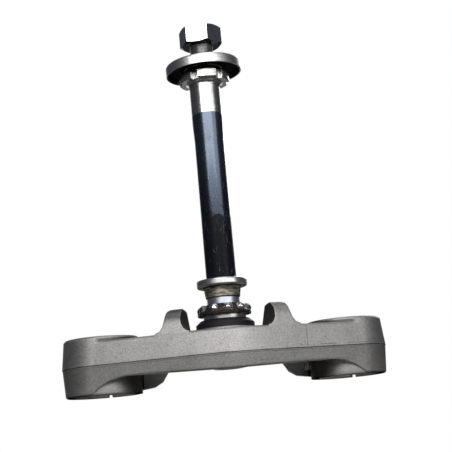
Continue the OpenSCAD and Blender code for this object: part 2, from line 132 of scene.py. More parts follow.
class NodeWork:
    # makes and joins the nodes of one tree
    def __init__(self, tree):
        self.tree = tree

    def fill(self, made, sockets):
        # values and links for a node's sockets
        for name, value in sockets.items():
            if isinstance(value, Channel):
                value = value.socket
            if isinstance(value, bpy.types.NodeSocket):
                self.tree.links.new(value, made.inputs[name])
            else:
                made.inputs[name].default_value = value

    def node(self, kind, settings=None, sockets=None):
        made = self.tree.nodes.new(kind)
        for name, value in (settings or {}).items():
            if name == "stops":
                ramp = made.color_ramp
                while len(ramp.elements) < len(value):
                    ramp.elements.new(0.5)
                for element, (position, colour) in zip(ramp.elements, value):
                    element.position = position
                    element.color = (*colour, 1)
            else:
                setattr(made, name, value)
        self.fill(made, sockets or {})
        return made

    def ramp(self, value, *stops):
        return self.node("ShaderNodeValToRGB", {"stops": stops}, {0: value}).outputs[0]

    def mix(self, value, first, second, way="MIX"):
        # colours are triples or sockets; 6, 7 and output 2 are this node's colour sockets
        ends = [end if isinstance(end, bpy.types.NodeSocket) else (*end, 1) for end in (first, second)]
        made = self.node("ShaderNodeMix", {"data_type": "RGBA", "blend_type": way},
                         {0: value, 6: ends[0], 7: ends[1]})
        return made.outputs[2]


class Finish(NodeWork):
    # a material on the principled shader
    def __init__(self, name, fixed):
        self.material = bpy.data.materials.new(name)
        self.material.use_nodes = True
        super().__init__(self.material.node_tree)
        self.shader = self.tree.nodes["Principled BSDF"]
        self.fill(self.shader, fixed)
        self.place = self.node("ShaderNodeTexCoord").outputs["Object"]
        apart = self.node("ShaderNodeSeparateXYZ", {}, {0: self.place})
        self.x, self.y, self.z = [Channel(self, apart.outputs[axis]) for axis in range(3)]

    def feed(self, sockets):
        self.fill(self.shader, sockets)

    def noise(self, size, detail, rough, stretch=None, twist=0.0):
        # size is the width of one lump in metres
        where = self.place
        if stretch:
            where = self.node("ShaderNodeVectorMath", {"operation": "MULTIPLY"},
                              {0: where, 1: stretch}).outputs[0]
        made = self.node("ShaderNodeTexNoise", {}, {
            "Vector": where, "Scale": 1 / size, "Detail": detail,
            "Roughness": rough, "Distortion": twist})
        return Channel(self, made.outputs["Fac"])

    def radius(self, x=0.0, y=0.0):
        # distance from the upright line through x, y
        away = self.node("ShaderNodeVectorMath", {"operation": "SUBTRACT"},
                         {0: self.place, 1: (x, y, 0)}).outputs[0]
        flat = self.node("ShaderNodeVectorMath", {"operation": "MULTIPLY"},
                         {0: away, 1: (1, 1, 0)}).outputs[0]
        made = self.node("ShaderNodeVectorMath", {"operation": "LENGTH"}, {0: flat})
        return Channel(self, made.outputs["Value"])

    def facing(self, axis=2):
        # how far the surface looks along an axis, from -1 to 1
        made = self.node("ShaderNodeNewGeometry")
        apart = self.node("ShaderNodeSeparateXYZ", {}, {0: made.outputs["Normal"]})
        return Channel(self, apart.outputs[axis])

    def shelter(self, reach, samples=8):
        # 1 in the open, towards 0 in corners
        made = self.node("ShaderNodeAmbientOcclusion", {"samples": samples}, {"Distance": reach})
        return Channel(self, made.outputs["AO"])

    def rounded(self, radius, samples=6):
        return self.node("ShaderNodeBevel", {"samples": samples}, {"Radius": radius}).outputs[0]

    def edges(self, rounded, bent=0.8, straight=0.995):
        # 1 on edges that the rounding reaches, 0 on flat ground
        flat = self.node("ShaderNodeNewGeometry").outputs["Normal"]
        made = self.node("ShaderNodeVectorMath", {"operation": "DOT_PRODUCT"},
                         {0: flat, 1: rounded})
        return 1 - Channel(self, made.outputs["Value"]).step(bent, straight)

    def relief(self, layers, base):
        # layers are (height channel, depth in metres), laid on top of each other
        normal = base
        for height, depth in layers:
            normal = self.node("ShaderNodeBump", {}, {
                "Height": height, "Distance": depth, "Strength": 1.0, "Normal": normal}).outputs[0]
        self.feed({"Normal": normal})


# meshes and pieces

def finishMesh(name, mesh, sharp=30):
    # a new piece from a bmesh, smooth but for edges over an angle in degrees
    data = bpy.data.meshes.new(name)
    mesh.to_mesh(data)
    mesh.free()
    piece = bpy.data.objects.new(name, data)
    bpy.context.scene.collection.objects.link(piece)
    data.shade_smooth()
    data.set_sharp_from_angle(angle=math.radians(sharp))
    return piece


def dress(name, finish):
    # a CAD node takes a finish
    mesh = nodes[name].data
    mesh.materials.clear()
    mesh.materials.append(finish.material)


def remade(name, node, finish, move):
    # stands in for a CAD node with a copy of its mesh whose points are moved
    mesh = nodes[node].data.copy()
    for vertex in mesh.vertices:
        vertex.co = move(vertex.co)
    mesh.materials.clear()
    mesh.materials.append(finish.material)
    piece = bpy.data.objects.new(name, mesh)
    bpy.context.scene.collection.objects.link(piece)
    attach(piece, "root")
    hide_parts(node)


# shape of the casting: its stops and the skirt of its front wall

armTop = 30 * mm        # the stops stand on the arms from here
partingLine = 10.4 * mm        # height of the seam that the mould leaves

# in the frame of one arm: along the rear wall, into the casting and up from the arm
stops = {
    "sweep": math.radians(17), "wallPeak": 42.21 * mm,        # how the rear wall runs
    "up": 0.3 * mm, "along": (30 * mm, 66 * mm), "into": (-1 * mm, 27 * mm),        # what is moved
    "inner": 45 * mm, "rear": 15 * mm, "slope": 0.45,        # inner edge and front side
    "straight": 38 * mm, "cornerFrom": 16.5 * mm, "corner": 2.6 * mm,        # inner edge in front
    "lip": ((7.2 * mm, -0.2 * mm), (10.6 * mm, -0.2 * mm), (14.2 * mm, 0.3 * mm),
            (17 * mm, 1.8 * mm), (19.2 * mm, 1.5 * mm)),        # inner edge behind: height, shift
}

skirt = {"x": (44 * mm, 70 * mm), "y": 16.9 * mm, "z": (-12 * mm, 6 * mm), "drop": 2.3 * mm}


def between(table, value):
    # a value read from a table of (place, value), held at both ends
    if value <= table[0][0]:
        return table[0][1]
    for (a, first), (b, second) in zip(table, table[1:]):
        if value <= b:
            return first + (second - first) * (value - a) / (b - a)
    return table[-1][1]


def easeStop(place, s):
    # straightens the inner edge of a stop towards the front and slopes its front side
    side = 1 if place.x > 0 else -1
    flat = Vector((side * place.x, place.y + s["wallPeak"]))
    along = flat.x * math.cos(s["sweep"]) + flat.y * math.sin(s["sweep"])
    into = flat.y * math.cos(s["sweep"]) - flat.x * math.sin(s["sweep"])
    up = place.z - armTop
    nearStop = s["along"][0] < along < s["along"][1] and s["into"][0] < into < s["into"][1]
    if up < s["up"] or not nearStop:
        return place
    if along < s["inner"] and into > s["rear"]:
        along = s["straight"] + s["corner"] * max(0, (up - s["cornerFrom"]) / s["corner"]) ** 2
    elif along < s["inner"]:
        along += between(s["lip"], up)
    if into > s["rear"]:
        into -= s["slope"] * up
    x = along * math.cos(s["sweep"]) - into * math.sin(s["sweep"])
    y = along * math.sin(s["sweep"]) + into * math.cos(s["sweep"]) - s["wallPeak"]
    return Vector((side * x, y, place.z))


def lowerSkirt(place, s):
    # the front wall hangs a little lower beside the clamps
    beside = s["x"][0] < abs(place.x) < s["x"][1] and place.y > s["y"]
    if beside and s["z"][0] < place.z < s["z"][1]:
        return place - Vector((0, 0, s["drop"]))
    return place


# bare cast alloy

casting = {
    # the last colour on the next line is also the colour of painted shade in corners, creases, on the
    # arms' walls and at the clamp feet
    "light": (0.485, 0.478, 0.465), "dark": (0.225, 0.221, 0.214), "dirtAndShade": (0.045, 0.041, 0.036),
    "machined": (0.66, 0.655, 0.64), "warm": (1.015, 1.0, 0.985), "cool": (0.995, 0.995, 1.01),
    # the first two colours on the next line are painted shade, for the tops of the stops and for their
    # faces towards the stem
    "filmAndShade": (0.07, 0.068, 0.073), "wearAndShade": (0.022, 0.021, 0.02), "specular": 0.5,
    # what varies over it, and how far corners and edges reach
    "grain": {"size": 0.9 * mm, "detail": 2, "rough": 0.7},
    "pores": {"size": 1.7 * mm, "detail": 3, "rough": 0.6},
    "clouds": {"size": 26 * mm, "detail": 5, "rough": 0.6, "twist": 0.6},
    "hues": {"size": 12 * mm, "detail": 1, "rough": 0.5},
    "edge": 2.0 * mm, "openReach": 9 * mm, "creaseReach": 2.2 * mm,
    "tone": {"clouds": 0.45, "grain": 0.9, "pores": 0.25, "less": 0.32}, "tones": (0.25, 0.8),
    "hueEdge": (0.4, 0.6), "holes": (0.3, 0.37), "corners": (0.3, 0.9), "creaseShade": (0.35, 0.8),
    "shadeMiddle": 0.5, "shadeVary": 0.6,
    # machined faces and fork bores
    "forkX": 102 * mm, "forkY": 24 * mm, "boreRim": (25.4 * mm, 25.6 * mm),
    "faces": (34.4 * mm, -12.6 * mm, 32.3 * mm), "faceSkin": 0.1 * mm,
    "upright": (0.3, 0.6), "level": (0.97, 0.99), "facePitch": 0.45 * mm, "borePitch": 0.35 * mm,
    # seams and marks of the mould
    "rear": (-4 * mm, 0), "lineWander": 0.7 * mm, "markWander": 0.8 * mm,
    "line": {"centre": partingLine + 0.3 * mm, "half": 0.12 * mm, "soft": 0.3 * mm},
    "lineLeast": 0.55, "lineVary": 0.8,
    "flash": {"centre": partingLine - 0.6 * mm, "half": 0.25 * mm, "soft": 0.4 * mm},
    "second": {"centre": partingLine + 2.2 * mm, "half": 0.15 * mm, "soft": 0.3 * mm},
    "secondX": (48 * mm, 56 * mm), "secondGaps": (0.42, 0.55),
    "mark": {"centre": 62.8 * mm, "half": 0.15 * mm, "soft": 0.35 * mm},
    "markFoot": (partingLine + 1 * mm, partingLine + 2 * mm),
    # painted shade on the tops of the stops, weaker on the right one, and on their faces towards the stem
    "stopShadeZ": (37.5 * mm, 43 * mm), "stopShadePores": 5 * mm, "stopShadeClouds": 6 * mm,
    "stopShadeX": (-10 * mm, 10 * mm), "stopShadeRight": 0.55,
    "stopFoot": (armTop + 0.4 * mm, armTop + 1.6 * mm), "shadedStopFace": (0.35, 0.6),
    # painted shade at the foot of a clamp's raised top, painted light in the hollow arms, and painted
    # shade on the arms' walls that face the stem
    "nookX": (103 * mm, 108 * mm), "nookReach": (33 * mm, 34 * mm),
    "nookZ": {"centre": armTop + 0.9 * mm, "half": 0.9 * mm, "soft": 1.1 * mm},
    "insideY": (-5 * mm, 1 * mm), "insideZ": (18 * mm, 22 * mm), "insideReach": (33.6 * mm, 34.2 * mm),
    "cavityLook": (0.25, 0.8), "cavityY": (-9 * mm, -2 * mm), "cavityZ": (3 * mm, 7 * mm),
    "insideClean": 0.9, "insideOpen": 0.8,
    # how much of each shows
    "share": {"holes": 0.45, "edges": 0.35, "flash": 0.3, "machined": 0.9, "filmAndShade": 0.9,
              "shadedStopFace": 0.95, "creaseShade": 0.5, "inside": 0.8, "cavityShade": 0.85, "nookShade": 0.8,
              "seams": 0.9, "faint": 0.6},
    "metal": {"all": 0.92, "paintedShade": 0.4, "shadedStopFace": 0.5, "inside": 0.9},
    "roughness": {"all": 0.46, "grain": 0.14, "machined": 0.2, "edges": 0.05, "shadedStopFace": 0.2},
    "relief": {"pores": 0.09 * mm, "grain": 0.13 * mm, "lathe": 0.006 * mm, "flash": 0.12 * mm,
               "line": 0.1 * mm},
}


def machinedFaces(f, c, nearest, upright):
    # fork bores and flat faces that were cut after casting, and their tool marks
    level = f.facing().absolute().step(*c["level"])
    bore = (1 - nearest.step(*c["boreRim"])) * upright
    skin = c["faceSkin"]
    faces = f.z.band(c["faces"][0], skin, skin)
    for height in c["faces"][1:]:
        faces = faces.most(f.z.band(height, skin, skin))
    faces = faces * level
    acrossFace = (nearest * (2 * math.pi / c["facePitch"])).maths("SINE")
    downBore = (f.z * (2 * math.pi / c["borePitch"])).maths("SINE")
    return bore.most(faces), acrossFace * faces + downBore * bore


def mouldSeams(f, c, clouds, hues, cast, rear, upright):
    # the seam, the flash under it, and a second seam and an upright mark on the right arm
    wavy = f.z + clouds.wander(c["lineWander"])
    line = wavy.band(**c["line"]) * cast * (c["lineLeast"] + hues * c["lineVary"])
    flash = f.z.band(**c["flash"]) * cast
    second = wavy.band(**c["second"]) * f.x.step(*c["secondX"]) * rear * hues.step(*c["secondGaps"])
    mark = (f.x + clouds.wander(c["markWander"])).band(**c["mark"]) * rear
    mark = mark * f.z.step(*c["markFoot"]) * upright
    faint = c["share"]["faint"]
    return line, flash, line.most(second * faint).most(mark * faint)


def hollowArms(f, c, nearest, cast, towardStem):
    # painted light in the hollow of the arms, and painted shade on their walls that face the stem
    inside = f.y.step(*c["insideY"]) * (1 - f.z.step(*c["insideZ"])) * cast
    inside = inside * nearest.step(*c["insideReach"])
    cavityShade = towardStem.step(*c["cavityLook"]) * f.y.step(*c["cavityY"])
    return inside, cavityShade * (1 - f.z.step(*c["cavityZ"])) * cast


def castingFinish(c):
    f = Finish("cast_alloy_bare", {"Specular IOR Level": c["specular"]})
    share, metal, roughness, relief = c["share"], c["metal"], c["roughness"], c["relief"]
    soft = f.rounded(c["edge"])
    grain, pores, clouds, hues = [f.noise(**c[name]) for name in ("grain", "pores", "clouds", "hues")]
    openness = f.shelter(c["openReach"])
    crease = f.shelter(c["creaseReach"])
    edges = f.edges(soft)
    nearest = f.radius(-c["forkX"], c["forkY"]).least(f.radius(c["forkX"], c["forkY"]))
    upright = 1 - f.facing().absolute().step(*c["upright"])
    towardStem = f.facing(0) * f.x.maths("SIGN") * -1
    rear = 1 - f.y.step(*c["rear"])
    machined, lathe = machinedFaces(f, c, nearest, upright)
    cast = 1 - machined
    line, flash, seams = mouldSeams(f, c, clouds, hues, cast, rear, upright)
    inside, cavityShade = hollowArms(f, c, nearest, cast, towardStem)
    # painted shade on the tops of the stops
    ragged = pores.wander(c["stopShadePores"]) + clouds.wander(c["stopShadeClouds"])
    filmAndShade = (f.z + ragged).step(*c["stopShadeZ"]) * (1 - f.x.step(*c["stopShadeX"]) * c["stopShadeRight"])
    # painted shade on the stop faces that look towards the stem
    shadedStopFace = towardStem.step(*c["shadedStopFace"]) * f.z.step(*c["stopFoot"])
    # painted shade at the foot of a clamp's raised top
    nookShade = (1 - f.x.absolute().step(*c["nookX"])) * upright * rear
    nookShade = nookShade * f.z.band(**c["nookZ"]) * (1 - nearest.step(*c["nookReach"]))
    # painted shade in corners, stronger or weaker in clouds, and mostly left out in the hollow arms
    paintedShade = (1 - openness.step(*c["corners"])) * (c["shadeMiddle"] + clouds.wander(c["shadeVary"]))
    paintedShade = paintedShade * (1 - inside * c["insideClean"])
    # painted shade in creases
    creaseShade = (1 - crease.step(*c["creaseShade"])) * share["creaseShade"] * (1 - inside * c["insideOpen"])

    tone = c["tone"]
    tone = clouds * tone["clouds"] + grain * tone["grain"] + pores * tone["pores"] - tone["less"]
    colour = f.ramp(tone, (c["tones"][0], c["dark"]), (c["tones"][1], c["light"]))
    colour = f.mix(1.0, colour, f.mix(hues.step(*c["hueEdge"]), c["cool"], c["warm"]), "MULTIPLY")
    colour = f.mix((1 - pores.step(*c["holes"])) * share["holes"], colour, c["dirtAndShade"])
    colour = f.mix(edges * share["edges"], colour, c["machined"])
    colour = f.mix(flash * share["flash"], colour, c["machined"])
    colour = f.mix(machined * share["machined"], colour, c["machined"])
    # from here to the seams: painted shade on the stops, in corners, in creases, on the arms' walls and
    # at the clamp feet, and painted light in the hollow arms
    colour = f.mix(filmAndShade * share["filmAndShade"], colour, c["filmAndShade"])
    colour = f.mix(shadedStopFace * share["shadedStopFace"], colour, c["wearAndShade"])
    colour = f.mix(paintedShade.most(0.0), colour, c["dirtAndShade"])
    colour = f.mix(creaseShade, colour, c["dirtAndShade"])
    colour = f.mix(inside * share["inside"], colour, c["machined"])
    colour = f.mix(cavityShade * share["cavityShade"], colour, c["dirtAndShade"])
    colour = f.mix(nookShade * share["nookShade"], colour, c["dirtAndShade"])
    colour = f.mix(seams * share["seams"], colour, c["dirtAndShade"])
    shine = metal["all"] - paintedShade * metal["paintedShade"] - shadedStopFace * metal["shadedStopFace"] - inside * metal["inside"]
    rough = roughness["all"] + grain * roughness["grain"] - machined * roughness["machined"]
    rough = rough - edges * roughness["edges"] + shadedStopFace * roughness["shadedStopFace"]
    f.feed({"Base Color": colour, "Metallic": shine, "Roughness": rough})
    f.relief([(pores * cast, relief["pores"]), (grain * cast, relief["grain"]),
              (lathe, relief["lathe"]), (flash, relief["flash"]), (line, relief["line"])], soft)
    return f


remade("yoke_casting", "yoke", castingFinish(casting),
       lambda place: lowerSkirt(easeStop(place, stops), skirt))
print("casting done")


# turned steel: bolts, ring nuts, races and cap

steel = {
    "bright": (0.80, 0.80, 0.785), "dull": (0.42, 0.42, 0.40), "stain": (0.42, 0.42, 0.40),
    # the first colour on the next line is also the colour of painted shade in corners
    "greaseAndShade": (0.03, 0.024, 0.015), "black": (0.012, 0.010, 0.008),
    "edge": 0.35 * mm, "openReach": 3 * mm, "corners": (0.3, 0.9), "shade": 0.7,
    "wide": {"size": 7 * mm, "detail": 4, "rough": 0.6, "twist": 0.8},
    "fine": {"size": 0.5 * mm, "detail": 3, "rough": 0.6},
    "rings": {"size": 0.25 * mm, "detail": 2, "rough": 0.6, "stretch": (0.02, 0.02, 1)},
    "ringTones": (0.2, 0.55), "stains": (0.48, 0.72), "stainRough": 0.25, "fineRough": 0.08,
    "ringDepth": 0.03 * mm, "fineDepth": 0.02 * mm,
}

bolts = {**steel, "bright": (0.60, 0.61, 0.60), "dull": (0.36, 0.36, 0.35), "rough": 0.36, "dirtAndShade": 0.35}
ringNut = {**steel, "rough": 0.2, "dirtAndShade": 0.25, "foot": 242.9 * mm, "neckEase": 0.68}
lockNut = {**steel, "rough": 0.22, "dirtAndShade": 0.1, "shade": 0.2}
lowerRace = {**steel, "rough": 0.24, "dirtAndShade": 0.35}

collaredRace = {
    **steel, "rough": 0.26, "dirtAndShade": 0.4, "track": (58 * mm, 66.6 * mm), "fadeIn": 0.2 * mm,
    "fadeOut": 0.3 * mm, "olive": (0.30, 0.25, 0.15), "brass": (0.60, 0.52, 0.42),
    "pale": (0.78, 0.70, 0.62), "tones": (0.34, 0.46, 0.56, 0.68),
    "smears": {"size": 1.6 * mm, "detail": 3, "rough": 0.55, "stretch": (0.22, 0.22, 1), "twist": 0.5},
    "spots": {"size": 4 * mm, "detail": 3, "rough": 0.6, "stretch": (0.6, 0.6, 1.6)},
    "spotEdge": (0.55, 0.68), "spotShare": 0.75, "filmShare": 0.85, "filmRough": 0.16,
    # painted shadow lines at the two ends of the track
    "lowShadowLine": (0.35 * mm, 0.3 * mm), "highShadowLine": (0.2 * mm, 0.4 * mm), "shadowLineShare": 0.9,
    "smearDepth": 0.12 * mm,
}

cap = {
    **steel, "bright": (0.66, 0.66, 0.65), "dull": (0.36, 0.36, 0.345), "rough": 0.34, "dirtAndShade": 0.15,
    "skin": (1.1 * mm, 0.7 * mm), "up": (0.3, 0.6), "blackShare": 0.97, "blackRough": 0.3,
}


def turnedSteel(name, c, fixed):
    # ground or turned steel with rings round the stem, stains, and painted shade in its corners
    f = Finish(name, fixed)
    wide, fine, rings = [f.noise(**c[kind]) for kind in ("wide", "fine", "rings")]
    stain = wide.step(*c["stains"]) * c["dirtAndShade"]
    openness = f.shelter(c["openReach"])
    colour = f.ramp(rings, (c["ringTones"][0], c["dull"]), (c["ringTones"][1], c["bright"]))
    colour = f.mix(stain, colour, c["stain"])
    # painted shade in corners
    colour = f.mix((1 - openness.step(*c["corners"])) * c["shade"], colour, c["greaseAndShade"])
    roughness = c["rough"] + stain * c["stainRough"] + fine * c["fineRough"]
    return f, colour, roughness, [(rings, c["ringDepth"]), (fine, c["fineDepth"])]


def plainSteel(name, c):
    f, colour, roughness, layers = turnedSteel(name, c, {"Metallic": 1.0})
    f.feed({"Base Color": colour, "Roughness": roughness})
    f.relief(layers, f.rounded(c["edge"]))
    return f


def greasedTrack(name, c):
    # the ball track of the loose race: old grease wiped into bands, with painted shadow lines at both
    # ends
    f, colour, roughness, layers = turnedSteel(name, c, {"Metallic": 1.0})
    low, high = c["track"]
    smears = f.noise(**c["smears"])
    spots = f.noise(**c["spots"])
    held = f.z.step(low - c["fadeIn"], low) * (1 - f.z.step(high - c["fadeOut"], high))
    filmAndShade = f.ramp(smears, *zip(c["tones"], (c["greaseAndShade"], c["olive"], c["brass"], c["pale"])))
    filmAndShade = f.mix(spots.step(*c["spotEdge"]) * c["spotShare"], filmAndShade, c["greaseAndShade"])
    # painted shadow lines at both ends of the track
    shadowLines = f.z.band(low, *c["lowShadowLine"]).most(f.z.band(high, *c["highShadowLine"]))
    colour = f.mix(held * c["filmShare"], colour, filmAndShade)
    colour = f.mix(shadowLines * c["shadowLineShare"], colour, c["black"])
    f.feed({"Base Color": colour, "Roughness": roughness + held * c["filmRough"]})
    f.relief([layers[0], (smears * held, c["smearDepth"])], f.rounded(c["edge"]))
    return f


def cappedSteel(name, c):
    # the pressed cap, black and not metallic under its top, within the skirt
    f, colour, roughness, layers = turnedSteel(name, c, {})
    rim = radiusOf("dust_cap")
    within = 1 - f.radius().step(rim - c["skin"][0], rim - c["skin"][1])
    within = within * (1 - f.facing().step(*c["up"]))
    f.feed({"Base Color": f.mix(within * c["blackShare"], colour, c["black"]),
            "Roughness": roughness + within * c["blackRough"], "Metallic": 1 - within})
    f.relief(layers, f.rounded(c["edge"]))
    return f


def shortNeck(place):
    # the neck under the ring nut ends soon below the nut
    depth = ringNut["foot"] - place.z
    return place if depth < 0 else place + Vector((0, 0, depth * ringNut["neckEase"]))


remade("castle_ring_nut", "lower_ring_nut", plainSteel("ring_nut_steel", ringNut), shortNeck)
dress("pinch_bolts", plainSteel("zinc_steel", bolts))
dress("upper_ring_nut", plainSteel("lock_nut_steel", lockNut))
dress("lower_inner_race", plainSteel("race_steel_lower", lowerRace))
dress("upper_inner_race", greasedTrack("race_steel_upper", collaredRace))
dress("dust_cap", cappedSteel("cap_steel", cap))


# balls and cage, under a film of dark grease, with painted shade towards the left and right sides

bearing = {
    "black": (0.012, 0.010, 0.008), "rust": (0.05, 0.015, 0.008), "edge": 0.3 * mm,
    "lumps": {"size": 2.4 * mm, "detail": 4, "rough": 0.6, "twist": 1.2},
    "fine": {"size": 0.6 * mm, "detail": 3, "rough": 0.6},
    "spots": {"size": 4.5 * mm, "detail": 3, "rough": 0.6},
    "sides": (11 * mm, 21 * mm), "sideShadeShare": 0.25, "filmSoft": 0.12,
    "rustEdge": (0.42, 0.6), "rustShare": 0.6, "metalLost": 0.8, "coat": 0.35, "coatRough": 0.1,
    "filmRough": 0.12, "fineRough": 0.08, "lumpDepth": 0.35 * mm, "fineDepth": 0.03 * mm,
}

balls = {**bearing, "metal": 1.0, "bare": (0.74, 0.75, 0.80), "rough": 0.2, "filmFrom": 0.6}
cage = {**bearing, "metal": 0.7, "bare": (0.034, 0.013, 0.009), "rough": 0.36, "filmFrom": 0.42}


def greasedBearing(name, c):
    f = Finish(name, {"Coat Roughness": c["coatRough"]})
    lumps, fine, spots = [f.noise(**c[kind]) for kind in ("lumps", "fine", "spots")]
    # painted shade towards the left and right sides, added to the grease film
    sides = f.x.absolute().step(*c["sides"]) * c["sideShadeShare"]
    filmAndShade = (lumps + sides).step(c["filmFrom"], c["filmFrom"] + c["filmSoft"])
    colour = f.mix(spots.step(*c["rustEdge"]) * c["rustShare"], c["bare"], c["rust"])
    colour = f.mix(filmAndShade, colour, c["black"])
    f.feed({"Base Color": colour, "Metallic": c["metal"] - filmAndShade * (c["metal"] * c["metalLost"]),
            "Roughness": c["rough"] + filmAndShade * c["filmRough"] + fine * c["fineRough"],
            "Coat Weight": filmAndShade * c["coat"]})
    f.relief([(lumps * filmAndShade, c["lumpDepth"]), (fine, c["fineDepth"])], f.rounded(c["edge"]))
    return f


dress("lower_balls", greasedBearing("ball_steel", balls))
dress("lower_ball_cage", greasedBearing("cage_steel", cage))
print("steel done")


# chrome nut

chromeNut = {
    "light": (0.86, 0.88, 0.92), "dark": (0.74, 0.76, 0.80), "pit": (0.2, 0.18, 0.16),
    # the first colour on the next line is painted shade for faces that look down
    "foot": (0.015, 0.014, 0.014), "edge": 0.6 * mm, "tones": (0.3, 0.7),
    "waves": {"size": 5 * mm, "detail": 4, "rough": 0.6},
    "fine": {"size": 0.6 * mm, "detail": 3, "rough": 0.6},
    "pits": (0.28, 0.36), "pitShare": 0.5, "down": (0.2, 0.5), "footShadeShare": 0.98,
    "rough": 0.1, "waveRough": 0.1, "pitRough": 0.3, "waveDepth": 0.05 * mm,
}


def chromeFinish(c):
    f = Finish("nut_chrome", {"Metallic": 1.0})
    waves = f.noise(**c["waves"])
    pits = 1 - f.noise(**c["fine"]).step(*c["pits"])
    # painted shade on the faces that look down
    foot = (f.facing() * -1).step(*c["down"])
    colour = f.ramp(waves, (c["tones"][0], c["dark"]), (c["tones"][1], c["light"]))
    colour = f.mix(pits * c["pitShare"], colour, c["pit"])
    colour = f.mix(foot * c["footShadeShare"], colour, c["foot"])
    f.feed({"Base Color": colour,
            "Roughness": c["rough"] + waves * c["waveRough"] + pits * c["pitRough"]})
    f.relief([(waves, c["waveDepth"])], f.rounded(c["edge"]))
    return f


dress("stem_nut", chromeFinish(chromeNut))


# rubber rings

rubber = {
    "black": (0.004, 0.004, 0.007), "dusty": (0.019, 0.018, 0.022), "specular": 0.35,
    "edge": 0.4 * mm, "wide": {"size": 6 * mm, "detail": 4, "rough": 0.6},
    "fine": {"size": 0.4 * mm, "detail": 4, "rough": 0.7}, "fineDepth": 0.05 * mm,
    "powder": (0.5, 0.75), "dust": 0.35, "rough": 0.45, "fineRough": 0.25, "dustRough": 0.3,
}


def rubberFinish(name, c):
    f = Finish(name, {"Metallic": 0.0, "Specular IOR Level": c["specular"]})
    fine = f.noise(**c["fine"])
    powder = f.noise(**c["wide"]).step(*c["powder"]) * c["dust"]
    f.feed({"Base Color": f.mix(powder, c["black"], c["dusty"]),
            "Roughness": c["rough"] + fine * c["fineRough"] + powder * c["dustRough"]})
    f.relief([(fine, c["fineDepth"])], f.rounded(c["edge"]))
    return f


for name in ("lower_dust_seal", "ring_nut_washer", "dust_cap_seal"):
    dress(name, rubberFinish(name + "_rubber", rubber))
print("nut and rubber done")


# stem with its paint and thread

stem = {
    "sides": 96, "rootTop": 57.8 * mm, "rootBevel": (1.2 * mm, 2 * mm),
    "tubeRadius": 12.45 * mm, "tubeRows": 28, "widenFrom": 191.4 * mm,
    "journalFrom": 206.4 * mm, "journalRadius": 13 * mm, "shoulder": 258.2 * mm,
    "shoulderBevel": 0.8 * mm, "boreRadius": 8.5 * mm, "holeRadius": 6.25 * mm,
    "holeFrom": 220 * mm, "holeBevel": 0.4 * mm, "tipBevel": 1 * mm,
    # thread, whose cut grows and fades over a short stretch at its ends
    "threadRadius": 9.85 * mm, "pitch": 1.25 * mm, "threadDepth": 0.55 * mm, "rowsPerTurn": 6,
    "threadEnd": 1.2 * mm, "cutIn": 2 * mm, "cutOut": 0.8 * mm, "cutEnd": 1 * mm,
}

# the paint is glossy and blue above, black and worn below, and ends at a slight slant
stemPaint = {
    "upper": (0.068, 0.086, 0.120), "lower": (0.007, 0.0076, 0.012), "scuff": (0.20, 0.20, 0.21),
    "bare": (0.70, 0.70, 0.69), "ringDark": (0.34, 0.34, 0.33), "stain": (0.3, 0.28, 0.25),
    # the next line also holds the colour of painted shade on the thread under the nut
    "root": (0.72, 0.76, 0.84), "paintedShade": (0.04, 0.038, 0.036), "specular": 0.06, "coatRough": 0.08,
    "top": 213.7 * mm, "lean": -0.09, "topEdge": (-0.1 * mm, 0.1 * mm), "topWander": 0.5 * mm,
    "foot": (0.2 * mm, 0.5 * mm), "wall": (11 * mm, 11.5 * mm),        # none at the root or in the bore
    "fade": (117 * mm, 133 * mm), "fadeWander": 85 * mm, "bloom": (110 * mm, 200 * mm),
    "glossLeast": 0.35, "sheen": (0.05, 0.4), "sheenMetal": 0.9,
    "coatLeast": 0.05, "coatGloss": 0.42,
    "wide": {"size": 9 * mm, "detail": 4, "rough": 0.6},
    "fine": {"size": 0.6 * mm, "detail": 3, "rough": 0.6},
    "rings": {"size": 0.3 * mm, "detail": 2, "rough": 0.6, "stretch": (0.02, 0.02, 1)},
    "scratches": {"size": 1.1 * mm, "detail": 3, "rough": 0.55, "stretch": (1, 1, 0.12), "twist": 1.2},
    "blotches": {"size": 10 * mm, "detail": 5, "rough": 0.65, "twist": 1.4},
    "nicks": {"size": 1.3 * mm, "detail": 2, "rough": 0.5, "stretch": (0.5, 0.5, 1)},
    "scratchEdge": (0.62, 0.69), "scratchPlace": (0.42, 0.56), "scratchShare": 0.8,
    "nickEdge": (0.24, 0.29), "nickShare": 0.8, "ringTones": (0.2, 0.6),
    "stainEdge": (0.5, 0.8), "stainShare": 0.4, "rootSoft": 0.6 * mm,
    "shadeSoft": 0.6 * mm, "shadeShare": 0.4, "edge": 0.3 * mm,
    "rough": {"all": 0.32, "fine": 0.06, "wearAndShade": 0.2, "upper": 0.08, "matt": 0.12},
    "relief": {"rings": 0.03 * mm, "paint": 0.08 * mm, "wide": 0.06 * mm, "fine": 0.006 * mm},
}


